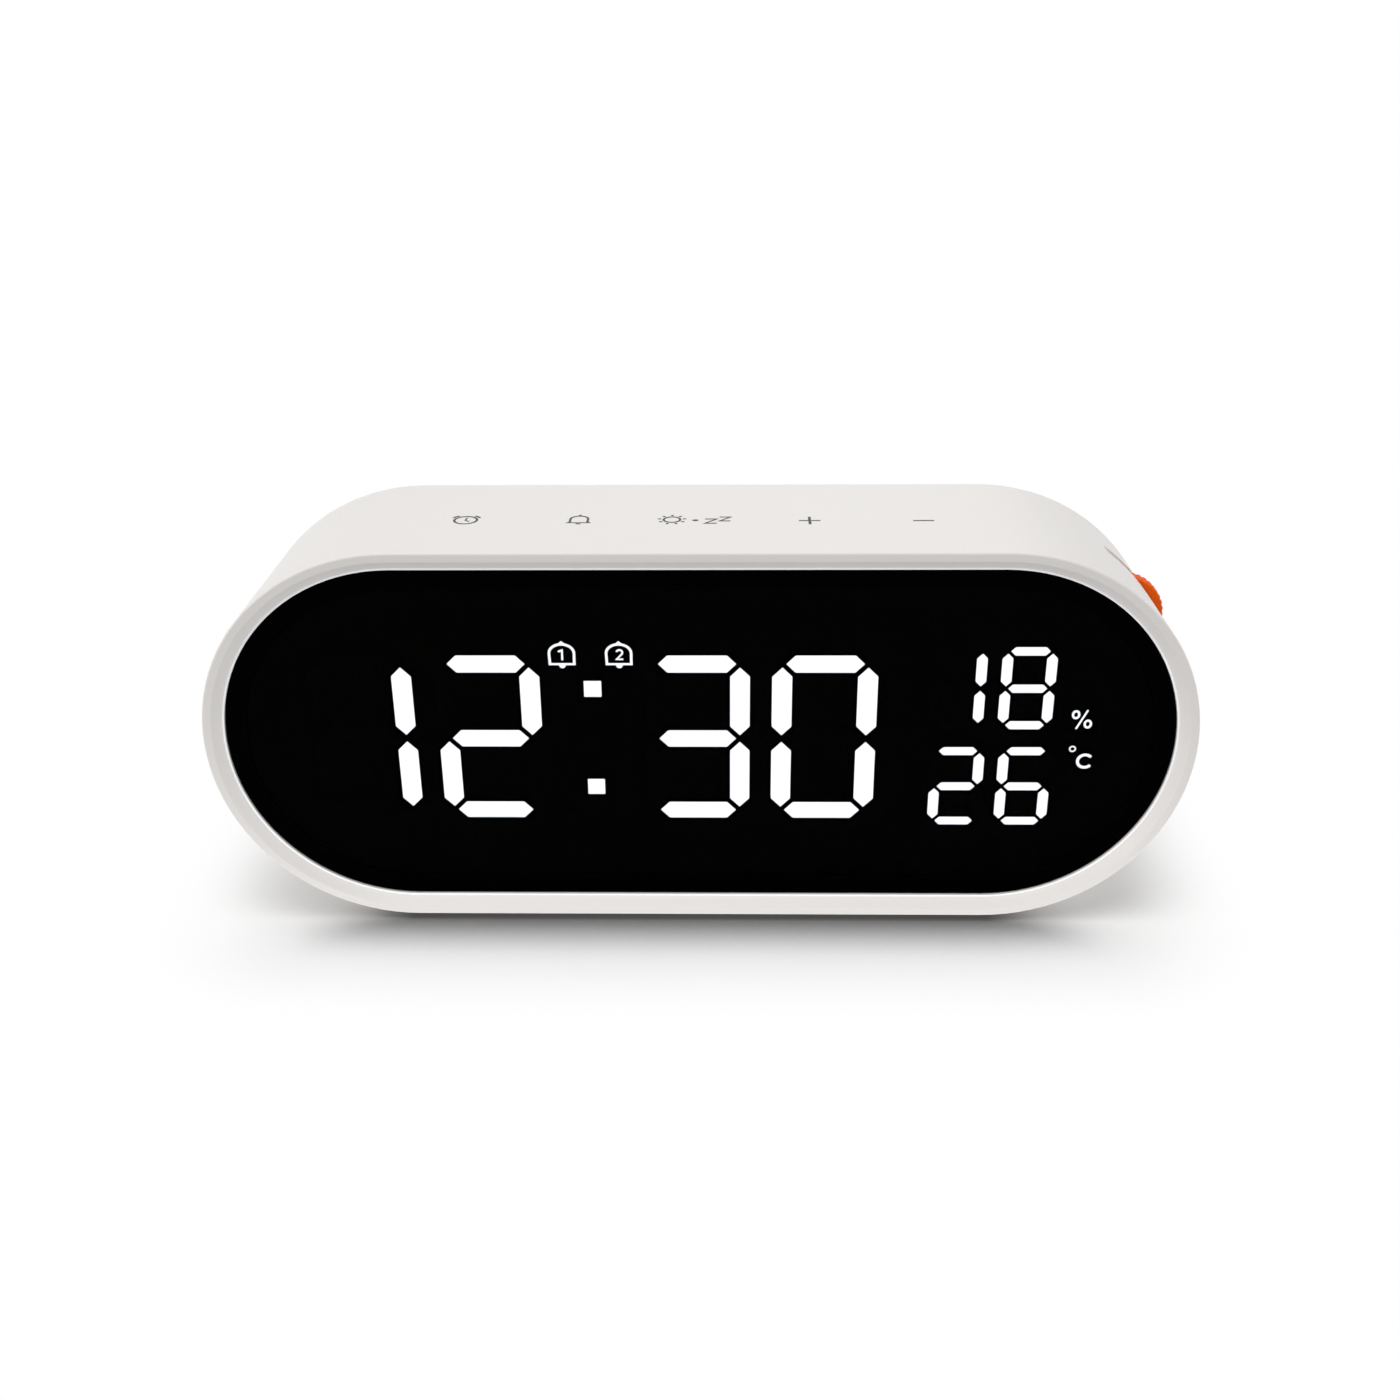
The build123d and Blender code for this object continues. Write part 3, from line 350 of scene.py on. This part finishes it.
class Sign:
    """A flat sign drawn in millimetres on its own plane, then given a little thickness."""

    # A mitre stretches a line by at most 1 over this share.
    least_mitre_share = 0.5

    def __init__(self):
        self.mesh = bmesh.new()

    def fill(self, points):
        """A closed outline, filled."""
        self.mesh.faces.new([self.mesh.verts.new((x, y, 0)) for x, y in points])

    def line(self, points, width, closed=False):
        """A line of even width with mitred corners."""
        count = len(points)
        rims = []
        for i, point in enumerate(points):
            here = Vector(point)
            ways = []
            if closed or i > 0:
                ways.append((here - Vector(points[i - 1])).normalized())
            if closed or i < count - 1:
                ways.append((Vector(points[(i + 1) % count]) - here).normalized())
            mean = sum(ways, Vector((0, 0))).normalized()
            side = Vector((-mean.y, mean.x))
            stretch = 1 / max(self.least_mitre_share, mean.dot(ways[0]))
            reach = side * width / 2 * stretch
            rims.append((here + reach, here - reach))
        verts = [(self.mesh.verts.new((*a, 0)), self.mesh.verts.new((*b, 0))) for a, b in rims]
        for i in range(count if closed else count - 1):
            (a, b), (c, d) = verts[i], verts[(i + 1) % count]
            self.mesh.faces.new((b, d, c, a))

    def make(self, name, place, thickness, mat):
        """The sign as an object that rides on the case, in the given material."""
        flat = self.mesh.faces[:]
        grown = bmesh.ops.extrude_face_region(self.mesh, geom=flat)
        top = [v for v in grown["geom"] if isinstance(v, bmesh.types.BMVert)]
        bmesh.ops.translate(self.mesh, verts=top, vec=(0, 0, thickness))
        bmesh.ops.recalc_face_normals(self.mesh, faces=self.mesh.faces[:])
        bmesh.ops.transform(self.mesh, matrix=place, verts=self.mesh.verts[:])
        data = bpy.data.meshes.new(name)
        self.mesh.to_mesh(data)
        self.mesh.free()
        obj = bpy.data.objects.new(name, data)
        bpy.context.scene.collection.objects.link(obj)
        data.materials.append(mat)
        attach(obj, "case")


def arc(centre, radius, start, end, count, squash=1.0):
    """Points along an arc, angles in degrees; squash scales its height."""
    turns = [math.radians(start + (end - start) * i / count) for i in range(count + 1)]
    return [(centre[0] + radius * math.cos(t), centre[1] + squash * radius * math.sin(t)) for t in turns]


def ring(centre, radius, count=40, squash=1.0):
    """Points round a full circle, the first one not repeated."""
    return arc(centre, radius, 0, FULL_TURN, count, squash)[:-1]


def upright_plane(depth):
    """Plane that reads width and height from the middle of the case, at a depth in metres."""
    turn = Matrix.Rotation(math.pi / 2, 4, "X")
    return Matrix.Translation((0, depth, CASE_MIDDLE * MM)) @ turn @ Matrix.Scale(MM, 4)


# Line, thickness and lift of the prints on the top and of the lit signs
PRINT_LINE = 0.42
PRINT_THICKNESS = 0.03
PRINT_LIFT = 0.005
LIT_THICKNESS = 0.04
LIT_LIFT = 0.05

# The top plane reads width from the middle of the case and depth from its front.
TOP_PLANE = Matrix.Translation((0, -CASE_DEPTH / 2 * MM, (CASE_TOP + PRINT_LIFT) * MM)) @ Matrix.Scale(MM, 4)
DISPLAY_PLANE = upright_plane(FRAME_FACE - LIT_LIFT * MM)


def key_alarm():
    """Clock face with two hands and two ears."""
    middle = (-42.25, 17.8)
    face_radius = 2.05
    long_hand, hub, short_hand = (0.1, 1.25), (-0.05, -0.1), (0.75, -0.75)
    hand_width = 0.3
    ear_radius = 2.75
    ear_start, ear_end = 32, 62
    ear_width = PRINT_LINE * 1.1
    sign = Sign()
    sign.line(ring(middle, face_radius), PRINT_LINE, closed=True)
    hands = [(middle[0] + x, middle[1] + y) for x, y in (long_hand, hub, short_hand)]
    sign.line(hands, hand_width)
    for side in (-1, 1):
        ear = arc(middle, ear_radius, UP - side * ear_start, UP - side * ear_end, count=5)
        sign.line(ear, ear_width)
    sign.make("key_alarm", TOP_PLANE, PRINT_THICKNESS, print_grey)


def key_bell():
    """Outline of a bell on its base, with a small clapper and a knob."""
    across, low = -21.6, 16.3
    dome_radius, dome_rise = 1.6, 2.1
    base_half, skirt_rise = 1.95, 0.4
    clapper_half, clapper_drop = 0.45, 0.62
    knob_start, knob_end = 3.85, 4.4
    knob_width = PRINT_LINE * 1.2
    sign = Sign()
    left_skirt = [(across - base_half, low), (across - dome_radius, low + skirt_rise)]
    dome = arc((across, low + dome_rise), dome_radius, LEFT, RIGHT, count=16)
    right_skirt = [(across + dome_radius, low + skirt_rise), (across + base_half, low)]
    sign.line(left_skirt + dome + right_skirt, PRINT_LINE, closed=True)
    clapper = low - clapper_drop
    sign.line([(across - clapper_half, clapper), (across + clapper_half, clapper)], PRINT_LINE)
    sign.line([(across, low + knob_start), (across, low + knob_end)], knob_width)
    sign.make("key_bell", TOP_PLANE, PRINT_THICKNESS, print_grey)


def key_light():
    """Sun with its rays, a dot, and the two letters of the snooze sign."""
    middle = Vector((-4.75, 17.95))
    sun_radius = 1.5
    ray_count = 9
    ray_start, ray_end = 2.0, 2.6
    dot_middle = (-0.5, 17.55)
    dot_radius, dot_squash = 0.58, 0.75
    letter_corners = ((1.27, 15.87), (3.9, 17.16))
    letter_sizes = ((2.1, 2.4), (1.95, 2.2))
    sign = Sign()
    sign.line(ring(middle, sun_radius), PRINT_LINE, closed=True)
    for turn in range(ray_count):
        angle = math.radians(UP + turn * FULL_TURN / ray_count)
        way = Vector((math.cos(angle), math.sin(angle)))
        sign.line([tuple(middle + way * ray_start), tuple(middle + way * ray_end)], PRINT_LINE)
    sign.fill(ring(dot_middle, dot_radius, count=18, squash=dot_squash))
    for (left, low), (width, height) in zip(letter_corners, letter_sizes):
        right, high = left + width, low + height
        sign.line([(left, high), (right, high), (left, low), (right, low)], PRINT_LINE)
    sign.make("key_light_snooze", TOP_PLANE, PRINT_THICKNESS, print_grey)


def key_plus():
    """Plus sign: a level line, and an upright line in two halves that end at it."""
    left, right, level = 18.2, 22.1, 17.3
    upright, low, high = 20.15, 15.3, 19.4
    upright_width = 0.5
    sign = Sign()
    sign.line([(left, level), (right, level)], PRINT_LINE)
    sign.line([(upright, low), (upright, level - PRINT_LINE / 2)], upright_width)
    sign.line([(upright, level + PRINT_LINE / 2), (upright, high)], upright_width)
    sign.make("key_plus", TOP_PLANE, PRINT_THICKNESS, print_grey)


def key_minus():
    """Minus sign: one level line."""
    left, right, level = 38.8, 42.55, 17.2
    line_width = 0.45
    sign = Sign()
    sign.line([(left, level), (right, level)], line_width)
    sign.make("key_minus", TOP_PLANE, PRINT_THICKNESS, print_grey)


def figure_one(across):
    """Points of the figure 1 inside a lit bell, and the width of its line."""
    flag, head, foot = (-0.6, 16.68), (0.1, 16.96), (0.1, 15.02)
    line_width = 0.34
    return [(across + x, y) for x, y in (flag, head, foot)], line_width


def figure_two(across):
    """Points of the figure 2 inside a lit bell, and the width of its line."""
    curl_shift, curl_height, curl_radius = 0.14, 16.5, 0.52
    curl_start, curl_end = 165, -38
    foot_left, foot_right, foot_level = 0.38, 0.8, 15.2
    line_width = 0.32
    curl = arc((across + curl_shift, curl_height), curl_radius, curl_start, curl_end, count=12)
    return curl + [(across - foot_left, foot_level), (across + foot_right, foot_level)], line_width


def display_bell(name, across, figure):
    """Lit outline of a bell with its knob, base and clapper, and a figure inside."""
    base_low, base_high = 14.06, 14.44
    base_left, base_right = across - 2.38, across + 2.46
    wall_left, wall_right = across - 2.15, across + 2.22
    wall_width = 0.45
    dome_height, dome_radius, dome_squash = 16.35, 2.24, 0.78
    clapper_shift, clapper_radius = 0.08, 0.6
    knob_low, knob_low_half = 18.24, 0.4
    knob_high, knob_high_half = 18.68, 0.14
    sign = Sign()
    dome = arc((across, dome_height), dome_radius, LEFT, RIGHT, count=24, squash=dome_squash)
    sign.line([(wall_left, base_high)] + dome + [(wall_right, base_high)], wall_width)
    base_foot = [(base_left, base_low), (base_right, base_low)]
    base_head = [(base_right, base_high), (base_left, base_high)]
    sign.fill(base_foot + base_head)
    sign.fill(arc((across + clapper_shift, base_low), clapper_radius, LEFT, FULL_TURN, count=12))
    knob_foot = [(across - knob_low_half, knob_low), (across + knob_low_half, knob_low)]
    knob_head = [(across + knob_high_half, knob_high), (across - knob_high_half, knob_high)]
    sign.fill(knob_foot + knob_head)
    points, figure_width = figure(across)
    sign.line(points, figure_width)
    sign.make(name, DISPLAY_PLANE, LIT_THICKNESS, segment_lit)


def display_percent():
    """Lit percent sign: a leaning bar between two small rings."""
    bar_foot, bar_head = (68.58, 1.42), (70.45, 5.2)
    bar_width = 0.32
    upper_ring, lower_ring = (68.36, 4.28), (70.64, 2.4)
    ring_radius, ring_squash, ring_width = 0.56, 1.24, 0.4
    sign = Sign()
    sign.line([bar_foot, bar_head], bar_width)
    for middle in (upper_ring, lower_ring):
        sign.line(ring(middle, ring_radius, count=28, squash=ring_squash), ring_width, closed=True)
    sign.make("sign_percent", DISPLAY_PLANE, LIT_THICKNESS, segment_lit)


def display_celsius():
    """Lit degree sign: a small ring, and a letter made of an open arc."""
    ring_middle = (68.36, -2.66)
    ring_radius, ring_squash, ring_width = 0.52, 0.98, 0.24
    letter_middle = (70.84, -5.17)
    letter_radius, letter_squash, letter_width = 1.34, 0.96, 0.52
    letter_start, letter_end = 40, 320
    sign = Sign()
    sign.line(ring(ring_middle, ring_radius, count=24, squash=ring_squash), ring_width, closed=True)
    letter = arc(letter_middle, letter_radius, letter_start, letter_end, count=28, squash=letter_squash)
    sign.line(letter, letter_width)
    sign.make("sign_celsius", DISPLAY_PLANE, LIT_THICKNESS, segment_lit)


def rim_painted_highlight():
    """Painted highlight on the polished land between the bevel and the front panel: a faintly glowing white
    ring, a fine bright line round the black.
    """
    inner, outer = 32.91, 33.24
    lift, thickness = 0.01, 0.02
    radius = (inner + outer) / 2
    sign = Sign()
    right = [(x + END_CENTRE, z) for x, z in arc((0, 0), radius, DOWN - FULL_TURN, UP, count=64)]
    left = [(x - END_CENTRE, z) for x, z in arc((0, 0), radius, UP, DOWN, count=64)]
    sign.line(right + left, outer - inner, closed=True)
    plane = upright_plane((LAND_DEPTH - lift - CASE_DEPTH / 2) * MM)
    sign.make("rim_painted_highlight", plane, thickness, rim_highlight_glow)


key_alarm()
key_bell()
key_light()
key_plus()
key_minus()
display_bell("sign_bell_1", across=-24.32, figure=figure_one)
display_bell("sign_bell_2", across=-14.09, figure=figure_two)
display_percent()
display_celsius()
rim_painted_highlight()


# Floor, light and camera, in metres and watts

FLOOR_RADIUS = 6.0

# Further across the floor than any shadow reaches
FAR = 1.0


def seen_straight(tree):
    """1 for rays from the camera, a reflection or glass, and 0 for rays that light other surfaces."""
    rays = tree.nodes.new("ShaderNodeLightPath")
    glass = number(tree, "MAXIMUM", rays.outputs["Is Glossy Ray"], rays.outputs["Is Transmission Ray"])
    return number(tree, "MAXIMUM", rays.outputs["Is Camera Ray"], glass)


def shadowed(tree, distance, darkest, start, end):
    """Level that falls from 1 to darkest where solids stand within a distance of the surface."""
    corner = tree.nodes.new("ShaderNodeAmbientOcclusion")
    corner.samples = 16
    corner.inputs["Distance"].default_value = distance
    level = tree.nodes.new("ShaderNodeMapRange")
    level.inputs["From Min"].default_value = start
    level.inputs["From Max"].default_value = end
    level.inputs["To Min"].default_value = darkest
    tree.links.new(corner.outputs["AO"], level.inputs["Value"])
    return level.outputs["Result"]


def towards_ends(tree, place, half, length):
    """0 within half of the middle of the clock's width, rising to 1 over a length to either end."""
    return fade(tree, outside(tree, place, (half, FAR), ("X", "Y"), 0.0), 0.0, length)


def contact_shadow(tree, place):
    """Narrow dark shadow under the straight part of the case, none at its ends."""
    dark = shadowed(tree, distance=0.015, darkest=0.15, start=0.555, end=1.0)
    return number(tree, "MAXIMUM", dark, towards_ends(tree, place, half=0.047, length=0.032))


def broad_shadow(tree, place):
    """Wide soft shadow round the case, paler at its ends."""
    end_level = 0.72
    soft = shadowed(tree, distance=0.036, darkest=0.55, start=0.40, end=0.80)
    pale = number(tree, "MULTIPLY", towards_ends(tree, place, half=0.044, length=0.022), end_level)
    return number(tree, "MAXIMUM", soft, pale)


def floor_material():
    """White table: shadowed close to the clock, plain white away from it, and a soft light on the clock."""
    paper_scale, paper_low, paper_high = 40.0, 0.93, 0.95
    clock_half = (0.072, 0.0185)
    white_start, white_end = 0.003, 0.036
    glow_start, glow_end = 0.02, 0.20
    near_glow, far_glow = (1, 1, 1), (0.16, 0.16, 0.16)
    glow_strength = 1.3
    mat, tree, shader, place = new_material("floor_paper")
    mat.cycles.emission_sampling = "NONE"
    tree.nodes.remove(shader)
    out = tree.nodes["Material Output"]
    near = tree.nodes.new("ShaderNodeBsdfDiffuse")
    paper = spread(tree, noise(tree, place, paper_scale), paper_low, paper_high)
    shadow = number(tree, "MULTIPLY", contact_shadow(tree, place), broad_shadow(tree, place))
    tree.links.new(number(tree, "MULTIPLY", paper, shadow), near.inputs["Color"])
    white = tree.nodes.new("ShaderNodeEmission")
    white.inputs["Color"].default_value = (1, 1, 1, 1)
    reach = outside(tree, place, clock_half, ("X", "Y"), 0.0)
    seen = tree.nodes.new("ShaderNodeMixShader")
    tree.links.new(fade(tree, reach, white_start, white_end), seen.inputs["Fac"])
    tree.links.new(near.outputs[0], seen.inputs[1])
    tree.links.new(white.outputs[0], seen.inputs[2])
    glow = tree.nodes.new("ShaderNodeEmission")
    falling = fade(tree, reach, glow_start, glow_end)
    tree.links.new(ramp(tree, falling, near_glow, far_glow, start=0.0, end=1.0), glow.inputs["Color"])
    glow.inputs["Strength"].default_value = glow_strength
    mix = tree.nodes.new("ShaderNodeMixShader")
    tree.links.new(seen_straight(tree), mix.inputs["Fac"])
    tree.links.new(glow.outputs[0], mix.inputs[1])
    tree.links.new(seen.outputs[0], mix.inputs[2])
    tree.links.new(mix.outputs[0], out.inputs["Surface"])
    return mat


def build_floor():
    """Round white table that the clock stands on."""
    data = bpy.data.meshes.new("floor")
    mesh = bmesh.new()
    bmesh.ops.create_circle(mesh, cap_ends=True, segments=96, radius=FLOOR_RADIUS)
    mesh.to_mesh(data)
    mesh.free()
    data.materials.append(floor_material())
    obj = bpy.data.objects.new("floor", data)
    bpy.context.scene.collection.objects.link(obj)


def build_world(strength):
    """Even white light all round, seen as plain white behind the floor."""
    world = bpy.data.worlds.new("studio")
    bpy.context.scene.world = world
    world.use_nodes = True
    tree = world.node_tree
    tree.nodes.clear()
    out = tree.nodes.new("ShaderNodeOutputWorld")
    lamp = tree.nodes.new("ShaderNodeBackground")
    lamp.inputs["Color"].default_value = (1, 1, 1, 1)
    lamp.inputs["Strength"].default_value = strength
    seen = tree.nodes.new("ShaderNodeBackground")
    seen.inputs["Color"].default_value = (1, 1, 1, 1)
    mix = tree.nodes.new("ShaderNodeMixShader")
    tree.links.new(seen_straight(tree), mix.inputs["Fac"])
    tree.links.new(lamp.outputs[0], mix.inputs[1])
    tree.links.new(seen.outputs[0], mix.inputs[2])
    tree.links.new(mix.outputs[0], out.inputs["Surface"])


def area_lamp(name, place, aim, size, power):
    """Round lamp at a place, turned towards an aim."""
    lamp = bpy.data.lights.new(name, "AREA")
    lamp.shape = "DISK"
    lamp.size = size
    lamp.energy = power
    obj = bpy.data.objects.new(name, lamp)
    obj.location = place
    obj.rotation_euler = (Vector(aim) - Vector(place)).to_track_quat("-Z", "Y").to_euler()
    bpy.context.scene.collection.objects.link(obj)


def build_camera():
    """Camera at the photograph's place, worked out from the outline of the case; angles in radians."""
    place = Vector((0.00604, -0.27037, 0.16372))
    pitch, yaw, roll = 0.4414, 0.0225, -0.0088
    photo_pixels = 1400
    focal_pixels = 1540.7731
    sensor_millimetres = 36.0
    nearest, furthest = 0.01, 50.0
    right = Vector((math.cos(yaw), math.sin(yaw), 0))
    ahead = Vector((-math.sin(yaw) * math.cos(pitch), math.cos(yaw) * math.cos(pitch), -math.sin(pitch)))
    up = right.cross(ahead)
    across = math.cos(roll) * right + math.sin(roll) * up
    upward = -math.sin(roll) * right + math.cos(roll) * up
    data = bpy.data.cameras.new("photo_camera")
    data.sensor_width = sensor_millimetres
    data.sensor_fit = "HORIZONTAL"
    data.lens = focal_pixels / photo_pixels * sensor_millimetres
    data.clip_start = nearest
    data.clip_end = furthest
    obj = bpy.data.objects.new("photo_camera", data)
    turn = Matrix((across, upward, -ahead)).transposed().to_4x4()
    obj.matrix_world = Matrix.Translation(place) @ turn
    bpy.context.scene.collection.objects.link(obj)
    bpy.context.scene.camera = obj


build_floor()
build_world(strength=0.22)
area_lamp("top_lamp", place=(-0.2, -0.34, 1.4), aim=(0, 0, 0.03), size=1.3, power=10.4)
area_lamp("left_lamp", place=(-0.92, -0.38, 0.56), aim=(0, 0, 0.04), size=0.8, power=4.1)
area_lamp("right_lamp", place=(1.0, -0.28, 0.36), aim=(0, 0, 0.04), size=0.8, power=3.4)
area_lamp("back_lamp", place=(0.1, 1.0, 0.9), aim=(0, 0, 0.04), size=1.0, power=2.0)
build_camera()
bpy.context.scene.view_settings.view_transform = "Standard"
